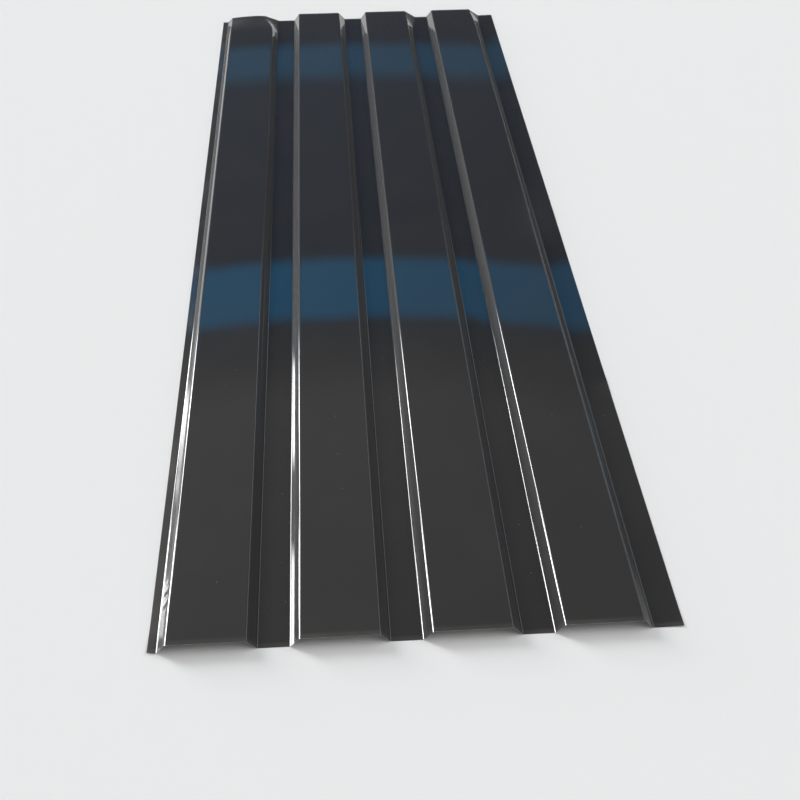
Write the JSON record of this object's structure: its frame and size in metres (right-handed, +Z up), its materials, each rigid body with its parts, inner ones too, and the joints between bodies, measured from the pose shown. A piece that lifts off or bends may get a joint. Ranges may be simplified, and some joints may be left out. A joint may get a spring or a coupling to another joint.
{
  "type": "corrugated metal sheet",
  "caption": "Roll-formed trapezoidal roofing or cladding sheet in gloss black painted steel, with wide raised crowns, narrow valleys and a flat lap along each side.",
  "frame": {"origin": "under the middle of the sheet, at the level of its valleys' undersides", "axes": "+X across the corrugations towards the wide lap, +Y along the corrugations, +Z up out of the crowns"},
  "size_m": [0.913, 2.44, 0.023],
  "materials": {
    "black_paint": "gloss"
  },
  "bodies": {
    "root": {"corrugated_sheet": "black_paint"}
  },
  "joints": []
}
